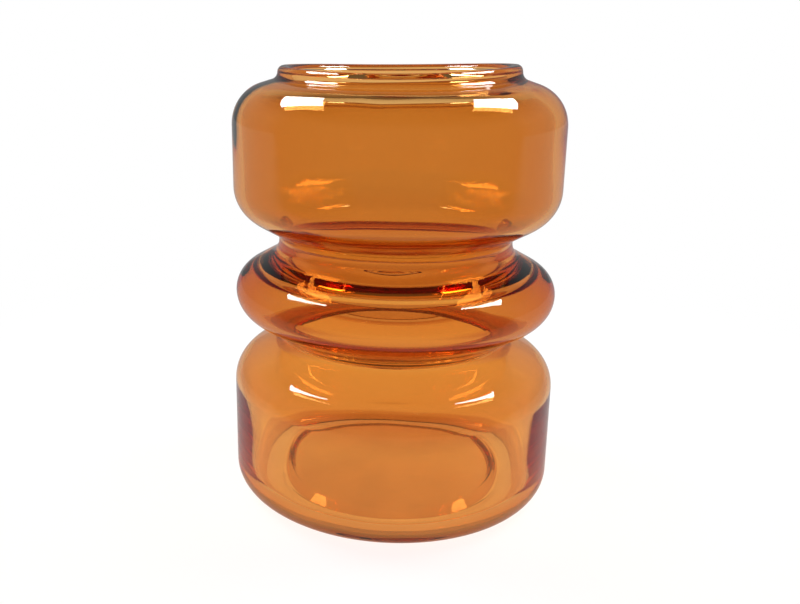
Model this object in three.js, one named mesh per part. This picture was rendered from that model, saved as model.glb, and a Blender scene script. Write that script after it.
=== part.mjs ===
// A blown glass vase in one wall: a wide lower drum, a rounded ring, a wide top drum, two pinched
// waists between them and a short collar with a rounded lip. It is one piece of glass, so it is one
// mesh: an outline turned about the vertical axis. Millimetres, +Z up, origin at the centre of the
// plane that the foot stands on.
import * as THREE from 'three';

// Radii of the outside
const lowerDrumRadius = 95.2;
const lowerWaistRadius = 68;
const ringRadius = 93.5;
const upperWaistRadius = 68;
const topDrumRadius = 93.8;
const neckRadius = 68.5;
const lipRadius = 67.5;

// Heights of the outside, each from the top of the one before, 250 in all
const lowerDrumHeight = 76.5;
const lowerShoulderRise = 16;
const lowerWaistHeight = 4.5;
const ringUndersideRise = 15;
const ringHeight = 18;
const ringShoulderRise = 14.3;
const upperWaistHeight = 10.2;
const topDrumUndersideRise = 15;
const topDrumHeight = 64.2;
const topShoulderRise = 8.8;
const collarHeight = 7.5;

// Roundings of the outside
const footRounding = 14;
const lowerShoulderRounding = 19;
const lowerWaistFootRounding = 8;
const lowerWaistTopRounding = 6;
const ringUndersideRounding = 16.5;
const ringShoulderRounding = 14.5;
const upperWaistFootRounding = 10.5;
const upperWaistTopRounding = 6;
const topDrumUndersideRounding = 22.3;
const topShoulderRounding = 23.5;
const neckRounding = 5;
const lipRounding = 3.5;

// Inside corners, each measured from the outside corner that it stands behind: how far in, how far
// up, and its rounding. The wall is drawn thin at the shoulders and left thick in the ring and waists.
const heelIn = 8.2;
const heelUp = 5.2;
const heelRounding = 15;
const lowerShoulderIn = 3.8;
const lowerShoulderUp = -3.2;
const lowerShoulderInsideRounding = 15;
const lowerWaistFootIn = 9;
const lowerWaistFootUp = -2.4;
const lowerWaistFootInsideRounding = 16;
const lowerWaistTopIn = 9;
const lowerWaistTopUp = 6.5;
const lowerWaistTopInsideRounding = 6.5;
const ringUndersideIn = 13.8;
const ringUndersideUp = 1.8;
const ringUndersideInsideRounding = 6;
const ringShoulderIn = 12.3;
const ringShoulderUp = 4;
const ringShoulderInsideRounding = 4.4;
const upperWaistFootIn = 7.3;
const upperWaistFootUp = -5.9;
const upperWaistFootInsideRounding = 9.5;
const upperWaistTopIn = 7.3;
const upperWaistTopUp = 3.9;
const upperWaistTopInsideRounding = 9.7;
const topDrumUndersideIn = 6.3;
const topDrumUndersideUp = 1.5;
const topDrumUndersideInsideRounding = 16.5;
const topShoulderIn = 6;
const topShoulderUp = -4.3;
const topShoulderInsideRounding = 17.5;
const neckIn = 7.6;
const neckUp = -3.7;
const neckInsideRounding = 12;
const lipThickness = 8;

// Floor: a raised disc inside the heel
const floorRiseRadius = 71;
const floorRiseRounding = 3;
const floorDiscRadius = 64;
const floorDiscHeight = 8.5;
const floorDiscRounding = 5;

// Shallow hollow under the floor, inside the ring that the foot stands on
const hollowRadius = 65.5;
const hollowDepth = 3;
const hollowEdgeWidth = 4.5;
const hollowRounding = 5;
const hollowRimRounding = 3;

// Facets of the solid
const facetsAround = 48;
const arcTolerance = 0.4;

// A corner of an outline: its distance from the axis, its height and the radius that rounds it
function corner(radius, height, rounding = 0) {
  return { point: new THREE.Vector2(radius, height), rounding };
}

// The corners of the outside, from the foot up
function outsideWall() {
  let height = 0;
  const above = (radius, rise, rounding) => {
    height += rise;
    return corner(radius, height, rounding);
  };
  return [
    above(lowerDrumRadius, 0, footRounding),
    above(lowerDrumRadius, lowerDrumHeight, lowerShoulderRounding),
    above(lowerWaistRadius, lowerShoulderRise, lowerWaistFootRounding),
    above(lowerWaistRadius, lowerWaistHeight, lowerWaistTopRounding),
    above(ringRadius, ringUndersideRise, ringUndersideRounding),
    above(ringRadius, ringHeight, ringShoulderRounding),
    above(upperWaistRadius, ringShoulderRise, upperWaistFootRounding),
    above(upperWaistRadius, upperWaistHeight, upperWaistTopRounding),
    above(topDrumRadius, topDrumUndersideRise, topDrumUndersideRounding),
    above(topDrumRadius, topDrumHeight, topShoulderRounding),
    above(neckRadius, topShoulderRise, neckRounding),
    above(lipRadius, collarHeight, lipRounding),
  ];
}

// The corners of the inside, from the heel up, each behind its corner of the outside
function insideWall(outside) {
  const behind = (i, inward, upward, rounding) => {
    const { x, y } = outside[i].point;
    return corner(x - inward, y + upward, rounding);
  };
  return [
    behind(0, heelIn, heelUp, heelRounding),
    behind(1, lowerShoulderIn, lowerShoulderUp, lowerShoulderInsideRounding),
    behind(2, lowerWaistFootIn, lowerWaistFootUp, lowerWaistFootInsideRounding),
    behind(3, lowerWaistTopIn, lowerWaistTopUp, lowerWaistTopInsideRounding),
    behind(4, ringUndersideIn, ringUndersideUp, ringUndersideInsideRounding),
    behind(5, ringShoulderIn, ringShoulderUp, ringShoulderInsideRounding),
    behind(6, upperWaistFootIn, upperWaistFootUp, upperWaistFootInsideRounding),
    behind(7, upperWaistTopIn, upperWaistTopUp, upperWaistTopInsideRounding),
    behind(8, topDrumUndersideIn, topDrumUndersideUp, topDrumUndersideInsideRounding),
    behind(9, topShoulderIn, topShoulderUp, topShoulderInsideRounding),
    behind(10, neckIn, neckUp, neckInsideRounding),
    behind(11, lipThickness, 0, lipRounding),
  ];
}

// The corners of the floor's upper face, from the heel in to the axis
function floorTop() {
  return [
    corner(floorRiseRadius, heelUp, floorRiseRounding),
    corner(floorDiscRadius, floorDiscHeight, floorDiscRounding),
    corner(0, floorDiscHeight),
  ];
}

// The corners of the underside, from the axis out to the ring that the foot stands on
function underside() {
  return [
    corner(0, hollowDepth),
    corner(hollowRadius - hollowEdgeWidth, hollowDepth, hollowRounding),
    corner(hollowRadius, 0, hollowRimRounding),
  ];
}

// Unit vector from one point to another
function direction(from, to) {
  return to.clone().sub(from).normalize();
}

// Angle through which an outline turns at a corner, positive towards the axis
function turnAt(before, at, after) {
  const arriving = direction(before, at);
  const leaving = direction(at, after);
  return Math.atan2(arriving.cross(leaving), arriving.dot(leaving));
}

// Length that a rounding takes from each of the two stretches that meet at its corner
function tangentLength(corners, i) {
  const turn = turnAt(corners[i - 1].point, corners[i].point, corners[i + 1].point);
  return corners[i].rounding * Math.tan(Math.abs(turn) / 2);
}

// Share of a corner's rounding that its two stretches have room for, beside their other roundings
function roomFor(corners, i, tangents) {
  const before = corners[i].point.distanceTo(corners[i - 1].point);
  const after = corners[i].point.distanceTo(corners[i + 1].point);
  return Math.min(
    1,
    before / (tangents[i - 1] + tangents[i]),
    after / (tangents[i] + tangents[i + 1]),
  );
}

// Points of the arc that rounds a corner
function roundedCorner(corners, i, tangents) {
  const { point } = corners[i];
  const back = direction(point, corners[i - 1].point);
  const turn = turnAt(corners[i - 1].point, point, corners[i + 1].point);
  const radius = corners[i].rounding * roomFor(corners, i, tangents);
  if (radius === 0) return [point];
  const tangent = radius * Math.tan(Math.abs(turn) / 2);
  const start = point.clone().addScaledVector(back, tangent);
  const towardsCentre = new THREE.Vector2(back.y, -back.x).multiplyScalar(Math.sign(turn));
  const centre = start.clone().addScaledVector(towardsCentre, radius);
  const widestStep = 2 * Math.acos(Math.max(0, 1 - arcTolerance / radius));
  const steps = Math.ceil(Math.abs(turn) / widestStep);
  return Array.from({ length: steps + 1 }, (_, step) =>
    start.clone().rotateAround(centre, (turn * step) / steps),
  );
}

// An outline with every corner rounded, both ends left as they are
function roundedOutline(corners) {
  const last = corners.length - 1;
  const tangents = corners.map((_, i) => (i === 0 || i === last ? 0 : tangentLength(corners, i)));
  const middle = corners.slice(1, last).flatMap((_, i) => roundedCorner(corners, i + 1, tangents));
  return [corners[0].point, ...middle, corners[last].point];
}

// The glass: underside, outside, lip, inside and floor in one outline that starts and ends on the axis
function glassBody() {
  const outside = outsideWall();
  const inside = insideWall(outside);
  const outline = roundedOutline([
    ...underside(),
    ...outside,
    ...inside.reverse(),
    ...floorTop(),
  ]);
  const geometry = new THREE.LatheGeometry(outline, facetsAround);
  geometry.rotateX(Math.PI / 2);
  const amberGlass = new THREE.MeshStandardMaterial({
    color: 0xe08a3c,
    roughness: 0.03,
    metalness: 0,
    transparent: true,
    opacity: 0.5,
  });
  const mesh = new THREE.Mesh(geometry, amberGlass);
  mesh.name = 'glass_body';
  return mesh;
}

const group = new THREE.Group();
group.add(glassBody());

export default group;
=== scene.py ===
"""A blown amber glass vase on a pale floor: the fine glass, its material, the lamps, floor and camera."""

import math

import bpy
from mathutils import Matrix, Vector, noise


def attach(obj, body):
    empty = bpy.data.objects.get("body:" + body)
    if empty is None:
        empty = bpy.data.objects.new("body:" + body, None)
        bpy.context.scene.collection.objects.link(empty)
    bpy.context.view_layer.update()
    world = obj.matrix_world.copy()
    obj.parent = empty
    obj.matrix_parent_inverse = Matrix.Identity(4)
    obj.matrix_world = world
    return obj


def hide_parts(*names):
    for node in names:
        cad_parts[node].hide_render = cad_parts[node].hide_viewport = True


MM = 0.001
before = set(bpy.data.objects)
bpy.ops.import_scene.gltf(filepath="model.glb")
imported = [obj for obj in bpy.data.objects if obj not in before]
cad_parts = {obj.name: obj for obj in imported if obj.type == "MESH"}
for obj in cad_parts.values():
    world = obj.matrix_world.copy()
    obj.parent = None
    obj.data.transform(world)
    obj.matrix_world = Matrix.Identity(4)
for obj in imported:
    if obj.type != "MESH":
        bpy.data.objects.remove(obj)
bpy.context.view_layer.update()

# Corners of the outside, from the foot up, as in the solid: distance from the axis, rise and rounding, in mm
OUTSIDE = (
    (95.2, 0, 14),
    (95.2, 76.5, 19),
    (68, 16, 8),
    (68, 4.5, 6),
    (93.5, 15, 16.5),
    (93.5, 18, 14.5),
    (68, 14.3, 10.5),
    (68, 10.2, 6),
    (93.8, 15, 22.3),
    (93.8, 64.2, 23.5),
    (68.5, 8.8, 5),
    (67.5, 7.5, 3.5),
)
HEIGHT = 250
# Corners of the inside, each behind its corner of the outside: how far in, how far up and rounding, in mm
INSIDE = (
    (8.2, 5.2, 15),
    (3.8, -3.2, 15),
    (9, -2.4, 16),
    (9, 6.5, 6.5),
    (13.8, 1.8, 6),
    (12.3, 4, 4.4),
    (7.3, -5.9, 9.5),
    (7.3, 3.9, 9.7),
    (6.3, 1.5, 16.5),
    (6, -4.3, 17.5),
    (7.6, -3.7, 12),
    (8, 0, 3.5),
)
# Floor inside, from the heel to the raised disc in the middle: radius, height and rounding, in mm
FLOOR = ((71, 5.2, 3), (64, 8.5, 5), (0, 8.5, 0))
# Underside, from the axis to the foot ring: radius, height and rounding, in mm
HOLLOW = ((0, 3, 0), (61, 3, 5), (65.5, 0, 3))

# Depth of the blown surface's waves, in mm. They fade within STEADY_RADIUS of the axis and end at FLAT_FOOT.
OUTSIDE_WAVE = 0.12
INSIDE_WAVE = 0.7
STEADY_RADIUS = 60
FLAT_FOOT = 1
# Slow waves, then quicker ones: noise cells per metre round the vase and up it, offset and share
WAVES = ((18, 30, 7, 0.65), (55, 22, 31, 0.35))
# Share of a normal that points away from the axis, above which the glass is taken as outside
OUTWARD_SHARE = 0.3
# The rim's dips, in mm: the height they start from, their depth at front and back and on the left
RIM_STARTS = 236
RIM_SADDLE = 2.0
RIM_LEAN = 1.2

# Fineness of the visible glass: facets round it, the widest step of a rounding and the longest stretch in mm
SEGMENTS = 208
ARC_STEP = math.radians(5)
LONGEST_STRETCH = 5.0

# Glass absorbs (1 - colour) times density per metre, in each of red, green and blue
ABSORPTION_COLOUR = (0.925, 0.667, 0.292)
ABSORPTION_DENSITY = 120.0
# Share of red, green and blue that one wall lets through besides that, at heights up the vase in mm. Partly
# the glass's own colour and partly painted light and shade for how brightly each part is lit from behind:
# lighter over the lower drum, darker at the foot, at the lower drum's shoulder, under the ring and over the
# top drum
TINTS_AND_PAINTED_SHADE = (
    (3, (0.76, 0.44, 0.22)),
    (8.6, (0.76, 0.44, 0.22)),
    (10.5, (1.0, 0.76, 0.40)),
    (56, (1.0, 0.76, 0.39)),
    (72, (0.83, 0.51, 0.265)),
    (98, (0.88, 0.61, 0.29)),
    (105, (0.66, 0.37, 0.16)),
    (118, (0.87, 0.65, 0.37)),
    (134, (0.83, 0.56, 0.27)),
    (160, (0.796, 0.524, 0.223)),
)
GLASS_IOR = 1.5
# Share of light that each surface lets through on its way to make the shadow
SHADOW_CLEARNESS = 0.97
# Smudges on the floor's disc: their scale and detail, the noise they span, what they multiply the tint by,
# and the heights in metres between which they end
SMUDGE_SCALE = 28
SMUDGE_DETAIL = 4
SMUDGE_NOISE = (0.3, 0.7)
SMUDGE_TINT = (0.9, 1.03)
SMUDGE_HEIGHTS = (0.0085, 0.013)

# The pale floor: half its width in metres, its colour and finish
FLOOR_HALF = 6.0
FLOOR_COLOUR = (0.9, 0.9, 0.9)
FLOOR_ROUGHNESS = 0.6
FLOOR_SPECULAR = 0.1
# Share of the floor's look that is its own white, at the vase, and the distances over which it grows to all
FLOOR_OWN_WHITE = 0.85
FLOOR_WHITE_SPAN = (0.12, 0.5)

# Brightness of the room in front of the vase and behind it, as its surface reflects them, and where along Y
# the one turns into the other: on the floor in metres, in the room as a part of the direction
FRONT_GREY = 0.1
BACK_GREY = 0.26
FLOOR_BACK_GREY = 0.4
FLOOR_GREY_SPAN = (-0.25, 0.0)
ROOM_GREY_SPAN = (-0.15, 0.2)
# The room dims from full to ROOM_TOP between two angles above the horizon
ROOM_DIMS_FROM = math.radians(20)
ROOM_DIMS_TO = math.radians(50)
ROOM_TOP = 0.2

# The left lamp: its middle and size in metres, the directions of its edges and its radiance
LAMP_PLACE = (-0.493, 0.229, 0.901)
LAMP_ACROSS = (-0.003, 0.840, 0.543)
LAMP_UP = (-0.385, 0.500, -0.775)
LAMP_SIZE = (0.5, 0.33)
LAMP_RADIANCE = 20.0

# Camera, found from the photograph's outline: distance and height in metres, angles in degrees, the rest in
# pixels of the photograph
CAMERA_DISTANCE = 0.50676
CAMERA_HEIGHT = 0.26636
CAMERA_YAW = 4.239
CAMERA_PITCH = 15.864
CAMERA_ROLL = 0.222
PHOTO_WIDTH = 800
PHOTO_HEIGHT = 604
FOCAL_PIXELS = 879.84
CENTRE_PIXEL = (331.12, 282.29)
SENSOR_WIDTH = 36

# Bounces that light is followed for
GLASS_BOUNCES = 16
TRANSPARENT_BOUNCES = 32


def turn_at(before, at, after):
    """Angle through which an outline turns at a corner, positive towards the axis."""
    arriving = at - before
    leaving = after - at
    return math.atan2(arriving.x * leaving.y - arriving.y * leaving.x, arriving.dot(leaving))


def wall_corners():
    """Corners of the outside and of the inside, both from the foot up, each a point and its rounding."""
    height = 0
    outside = []
    inside = []
    for (radius, rise, rounding), (inward, upward, inside_rounding) in zip(OUTSIDE, INSIDE):
        height += rise
        outside.append((Vector((radius, height)), rounding))
        inside.append((Vector((radius - inward, height + upward)), inside_rounding))
    return outside, inside


def placed(rows):
    """Rows of radius, height and rounding as corners, each a point and its rounding."""
    return [(Vector((radius, height)), rounding) for radius, height, rounding in rows]


def rounded(corners):
    """The outline with each corner rounded, as points."""
    points = [corners[0][0]]
    for i in range(1, len(corners) - 1):
        before, (at, rounding), after = corners[i - 1][0], corners[i], corners[i + 1][0]
        turn = turn_at(before, at, after)
        back = (before - at).normalized()
        start = at + back * rounding * math.tan(abs(turn) / 2)
        side = Vector((back.y, -back.x)) * math.copysign(1, turn)
        centre = start + side * rounding
        steps = max(1, math.ceil(abs(turn) / ARC_STEP))
        for step in range(steps + 1):
            arm = start - centre
            arm.rotate(Matrix.Rotation(turn * step / steps, 2))
            points.append(centre + arm)
    points.append(corners[-1][0])
    return points


def finer(points):
    """The outline with no stretch longer than LONGEST_STRETCH."""
    fine = [points[0]]
    for start, end in zip(points, points[1:]):
        steps = max(1, math.ceil((end - start).length / LONGEST_STRETCH))
        fine += [start.lerp(end, step / steps) for step in range(1, steps + 1)]
    return fine


def revolve(name, outline):
    """A closed mesh: the outline, which starts and ends on the axis, turned about it."""
    first, *rings, last = outline
    vertices = [(0, 0, first.y * MM)]
    for point in rings:
        for k in range(SEGMENTS):
            angle = math.tau * k / SEGMENTS
            x = point.x * MM * math.cos(angle)
            y = point.x * MM * math.sin(angle)
            vertices.append((x, y, point.y * MM))
    vertices.append((0, 0, last.y * MM))
    faces = []
    end = len(vertices) - 1
    last_ring = 1 + (len(rings) - 1) * SEGMENTS
    for k in range(SEGMENTS):
        after = (k + 1) % SEGMENTS
        faces.append((0, 1 + after, 1 + k))
        faces.append((end, last_ring + k, last_ring + after))
        for low in range(1, last_ring, SEGMENTS):
            high = low + SEGMENTS
            faces.append((low + k, low + after, high + after, high + k))
    mesh = bpy.data.meshes.new(name)
    mesh.from_pydata(vertices, [], faces)
    mesh.update()
    for polygon in mesh.polygons:
        polygon.use_smooth = True
    piece = bpy.data.objects.new(name, mesh)
    bpy.context.scene.collection.objects.link(piece)
    return piece


def fade(nodes, links, value, span, first, last, kind="SMOOTHSTEP"):
    """A number that goes from first to last while value goes through the span."""
    ramp = nodes.new("ShaderNodeMapRange")
    ramp.interpolation_type = kind
    ramp.inputs["From Min"].default_value = span[0]
    ramp.inputs["From Max"].default_value = span[1]
    ramp.inputs["To Min"].default_value = first
    ramp.inputs["To Max"].default_value = last
    links.new(value, ramp.inputs["Value"])
    return ramp.outputs["Result"]


def combine(nodes, links, operation, first, second):
    """Two linked numbers brought together by the operation that is named."""
    both = nodes.new("ShaderNodeMath")
    both.operation = operation
    links.new(first, both.inputs[0])
    links.new(second, both.inputs[1])
    return both.outputs["Value"]


def choose(nodes, links, factor, first, second):
    """The number first where factor is 0 and the linked second where it is 1."""
    mix = nodes.new("ShaderNodeMix")
    mix.data_type = "FLOAT"
    links.new(factor, mix.inputs["Factor"])
    mix.inputs["A"].default_value = first
    links.new(second, mix.inputs["B"])
    return mix.outputs["Result"]


def blend(nodes, links, factor, first, second):
    """Shows the shader first where factor is 0 and second where it is 1, as the material's surface."""
    mix = nodes.new("ShaderNodeMixShader")
    links.new(factor, mix.inputs["Fac"])
    links.new(first, mix.inputs[1])
    links.new(second, mix.inputs[2])
    links.new(mix.outputs["Shader"], nodes["Material Output"].inputs["Surface"])


def mirrored(nodes, links):
    """1 for a ray that the surface of the glass reflects, and 0 for one that it lets through."""
    path = nodes.new("ShaderNodeLightPath")
    glossy = path.outputs["Is Glossy Ray"]
    return combine(nodes, links, "MULTIPLY", glossy, path.outputs["Is Reflection Ray"])


def unevenness(x, y, z):
    """Waves of hand-blown glass at a point, from -1 to 1."""
    return sum(
        share * noise.noise(Vector((x * across, y * across, z * up + offset)))
        for across, up, offset, share in WAVES
    )


def blow(piece):
    """Gives the glass the small waves of blown glass and its slightly saddled rim, within the CAD size."""
    mesh = piece.data
    normals = [vertex.normal.copy() for vertex in mesh.vertices]
    for vertex, normal in zip(mesh.vertices, normals):
        x, y, z = vertex.co
        if z < FLAT_FOOT * MM:
            continue
        wave = unevenness(x, y, z)
        radius = math.hypot(x, y)
        outside = normal.x * x + normal.y * y > OUTWARD_SHARE * radius
        depth = OUTSIDE_WAVE if outside else INSIDE_WAVE
        steady = min(1, radius / (STEADY_RADIUS * MM)) ** 2
        vertex.co = vertex.co - normal * (0.5 + 0.5 * wave) * depth * steady * MM
        rise = (z - RIM_STARTS * MM) / ((HEIGHT - RIM_STARTS) * MM)
        if rise > 0:
            angle = math.atan2(y, x)
            drop = RIM_SADDLE * math.sin(angle) ** 2 + RIM_LEAN * (1 - math.cos(angle)) / 2
            vertex.co.z -= drop * MM * rise * rise * (3 - 2 * rise)


def tint_and_shade_at(nodes, links, height):
    """The tint of a wall at a height in metres: the glass's colour with painted light and shade by height.
    """
    up = fade(nodes, links, height, (0, HEIGHT * MM), 0, 1, "LINEAR")
    tint = nodes.new("ShaderNodeValToRGB")
    stops = tint.color_ramp.elements
    while len(stops) < len(TINTS_AND_PAINTED_SHADE):
        stops.new(1)
    for stop, (stop_height, colour) in zip(stops, TINTS_AND_PAINTED_SHADE):
        stop.position = stop_height / HEIGHT
        stop.color = (*colour, 1)
    links.new(up, tint.inputs["Fac"])
    return tint.outputs["Color"]


def smudges(nodes, links, place, height):
    """What the tint is multiplied by: faint clouds on the floor's disc and 1 above it."""
    clouds = nodes.new("ShaderNodeTexNoise")
    clouds.inputs["Scale"].default_value = SMUDGE_SCALE
    clouds.inputs["Detail"].default_value = SMUDGE_DETAIL
    links.new(place, clouds.inputs["Vector"])
    cloudy = fade(nodes, links, clouds.outputs["Fac"], SMUDGE_NOISE, *SMUDGE_TINT)
    on_floor = fade(nodes, links, height, SMUDGE_HEIGHTS, 1, 0)
    return choose(nodes, links, on_floor, 1, cloudy)


def glass_material():
    """Clear amber glass, coloured by the depth of glass that light crosses and by each wall it passes, whose
    tint by height holds painted light and shade.
    """
    material = bpy.data.materials.new("amber_glass")
    material.use_nodes = True
    nodes = material.node_tree.nodes
    links = material.node_tree.links
    shader = nodes["Principled BSDF"]
    place = nodes.new("ShaderNodeTexCoord")
    split = nodes.new("ShaderNodeSeparateXYZ")
    links.new(place.outputs["Object"], split.inputs["Vector"])
    height = split.outputs["Z"]
    # The walls' tint by height, with its painted light and shade, goes into the base colour
    wall_tint_and_shade = nodes.new("ShaderNodeVectorMath")
    wall_tint_and_shade.operation = "SCALE"
    links.new(tint_and_shade_at(nodes, links, height), wall_tint_and_shade.inputs["Vector"])
    links.new(smudges(nodes, links, place.outputs["Object"], height), wall_tint_and_shade.inputs["Scale"])
    links.new(wall_tint_and_shade.outputs["Vector"], shader.inputs["Base Color"])
    shader.inputs["Roughness"].default_value = 0.0
    shader.inputs["IOR"].default_value = GLASS_IOR
    shader.inputs["Transmission Weight"].default_value = 1.0
    through = nodes.new("ShaderNodeBsdfTransparent")
    through.inputs["Color"].default_value = (SHADOW_CLEARNESS, SHADOW_CLEARNESS, SHADOW_CLEARNESS, 1)
    path = nodes.new("ShaderNodeLightPath")
    blend(nodes, links, path.outputs["Is Shadow Ray"], shader.outputs["BSDF"], through.outputs["BSDF"])
    depth = nodes.new("ShaderNodeVolumeAbsorption")
    depth.inputs["Color"].default_value = (*ABSORPTION_COLOUR, 1)
    depth.inputs["Density"].default_value = ABSORPTION_DENSITY
    links.new(depth.outputs["Volume"], nodes["Material Output"].inputs["Volume"])
    return material


def make_glass():
    """The vase itself, in place of the solid."""
    outside, inside = wall_corners()
    corners = [*placed(HOLLOW), *outside, *reversed(inside), *placed(FLOOR)]
    piece = revolve("vase_glass", finer(rounded(corners)))
    blow(piece)
    piece.data.materials.append(glass_material())
    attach(piece, "root")
    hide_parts("glass_body")


def floor_material():
    """White away from the vase and through glass, with a little of the vase's shadow near it."""
    material = bpy.data.materials.new("pale_floor")
    material.use_nodes = True
    nodes = material.node_tree.nodes
    links = material.node_tree.links
    shader = nodes["Principled BSDF"]
    shader.inputs["Base Color"].default_value = (*FLOOR_COLOUR, 1)
    shader.inputs["Roughness"].default_value = FLOOR_ROUGHNESS
    shader.inputs["Specular IOR Level"].default_value = FLOOR_SPECULAR
    place = nodes.new("ShaderNodeNewGeometry")
    split = nodes.new("ShaderNodeSeparateXYZ")
    links.new(place.outputs["Position"], split.inputs["Vector"])
    grey = fade(nodes, links, split.outputs["Y"], FLOOR_GREY_SPAN, FRONT_GREY, FLOOR_BACK_GREY)
    white = nodes.new("ShaderNodeEmission")
    links.new(choose(nodes, links, mirrored(nodes, links), 1.0, grey), white.inputs["Strength"])
    distance = nodes.new("ShaderNodeVectorMath")
    distance.operation = "LENGTH"
    links.new(place.outputs["Position"], distance.inputs[0])
    own_white = fade(nodes, links, distance.outputs["Value"], FLOOR_WHITE_SPAN, FLOOR_OWN_WHITE, 1.0)
    path = nodes.new("ShaderNodeLightPath")
    shown_white = combine(nodes, links, "MAXIMUM", own_white, path.outputs["Is Transmission Ray"])
    blend(nodes, links, shown_white, shader.outputs["BSDF"], white.outputs["Emission"])
    return material


def make_floor():
    """A flat square round the foot."""
    near, far = -FLOOR_HALF, FLOOR_HALF
    mesh = bpy.data.meshes.new("floor")
    mesh.from_pydata([(near, near, 0), (far, near, 0), (far, far, 0), (near, far, 0)], [], [(0, 1, 2, 3)])
    piece = bpy.data.objects.new("floor", mesh)
    bpy.context.scene.collection.objects.link(piece)
    mesh.materials.append(floor_material())


def softbox(name, place, across, up):
    """A rectangular lamp whose edges run along across and up; it shines along across x up, turned over."""
    width, height = LAMP_SIZE
    lamp = bpy.data.lights.new(name, "AREA")
    lamp.shape = "RECTANGLE"
    lamp.size = width
    lamp.size_y = height
    lamp.energy = LAMP_RADIANCE * math.pi * width * height
    piece = bpy.data.objects.new(name, lamp)
    across = Vector(across).normalized()
    up = Vector(up).normalized()
    turn = Matrix((across, up, across.cross(up))).transposed().to_4x4()
    piece.matrix_world = Matrix.Translation(place) @ turn
    bpy.context.scene.collection.objects.link(piece)


def make_lamps():
    """Two lamps, the right one the left one's mirror image."""
    softbox("softbox_left", LAMP_PLACE, LAMP_ACROSS, LAMP_UP)
    place = (-LAMP_PLACE[0], LAMP_PLACE[1], LAMP_PLACE[2])
    across = (LAMP_ACROSS[0], -LAMP_ACROSS[1], -LAMP_ACROSS[2])
    up = (-LAMP_UP[0], LAMP_UP[1], LAMP_UP[2])
    softbox("softbox_right", place, across, up)


def make_world():
    """A white room, dimmer overhead and dimmer where the glass reflects it."""
    world = bpy.data.worlds.new("studio")
    bpy.context.scene.world = world
    world.use_nodes = True
    nodes = world.node_tree.nodes
    links = world.node_tree.links
    coordinates = nodes.new("ShaderNodeTexCoord")
    split = nodes.new("ShaderNodeSeparateXYZ")
    links.new(coordinates.outputs["Generated"], split.inputs["Vector"])
    dims = (math.sin(ROOM_DIMS_FROM), math.sin(ROOM_DIMS_TO))
    by_height = fade(nodes, links, split.outputs["Z"], dims, 1.0, ROOM_TOP)
    grey = fade(nodes, links, split.outputs["Y"], ROOM_GREY_SPAN, FRONT_GREY, BACK_GREY)
    by_ray = choose(nodes, links, mirrored(nodes, links), 1.0, grey)
    background = nodes["Background"]
    background.inputs["Color"].default_value = (1, 1, 1, 1)
    links.new(combine(nodes, links, "MULTIPLY", by_height, by_ray), background.inputs["Strength"])


def make_camera():
    """The camera that the photograph was taken with, as far as its outline tells."""
    data = bpy.data.cameras.new("camera")
    data.sensor_width = SENSOR_WIDTH
    data.lens = FOCAL_PIXELS / PHOTO_WIDTH * data.sensor_width
    data.shift_x = (PHOTO_WIDTH / 2 - CENTRE_PIXEL[0]) / PHOTO_WIDTH
    data.shift_y = (CENTRE_PIXEL[1] - PHOTO_HEIGHT / 2) / PHOTO_WIDTH
    data.dof.use_dof = False
    camera = bpy.data.objects.new("camera", data)
    bpy.context.scene.collection.objects.link(camera)
    yaw, pitch, roll = (math.radians(angle) for angle in (CAMERA_YAW, CAMERA_PITCH, CAMERA_ROLL))
    right = Vector((math.cos(yaw), math.sin(yaw), 0))
    forward = Vector((-math.sin(yaw), math.cos(yaw), 0))
    up = Vector((0, 0, 1))
    tilted = forward * math.cos(pitch) - up * math.sin(pitch)
    risen = up * math.cos(pitch) + forward * math.sin(pitch)
    rolled_right = right * math.cos(roll) + risen * math.sin(roll)
    rolled_up = risen * math.cos(roll) - right * math.sin(roll)
    basis = Matrix((rolled_right, rolled_up, -tilted)).transposed()
    camera.matrix_world = Matrix.Translation((0, -CAMERA_DISTANCE, CAMERA_HEIGHT)) @ basis.to_4x4()
    bpy.context.scene.camera = camera


def set_scene():
    """How colours are shown and how long light is followed."""
    scene = bpy.context.scene
    scene.view_settings.view_transform = "Standard"
    scene.cycles.max_bounces = GLASS_BOUNCES
    scene.cycles.transmission_bounces = GLASS_BOUNCES
    scene.cycles.glossy_bounces = GLASS_BOUNCES
    scene.cycles.transparent_max_bounces = TRANSPARENT_BOUNCES


make_camera()
make_glass()
make_floor()
make_lamps()
make_world()
set_scene()
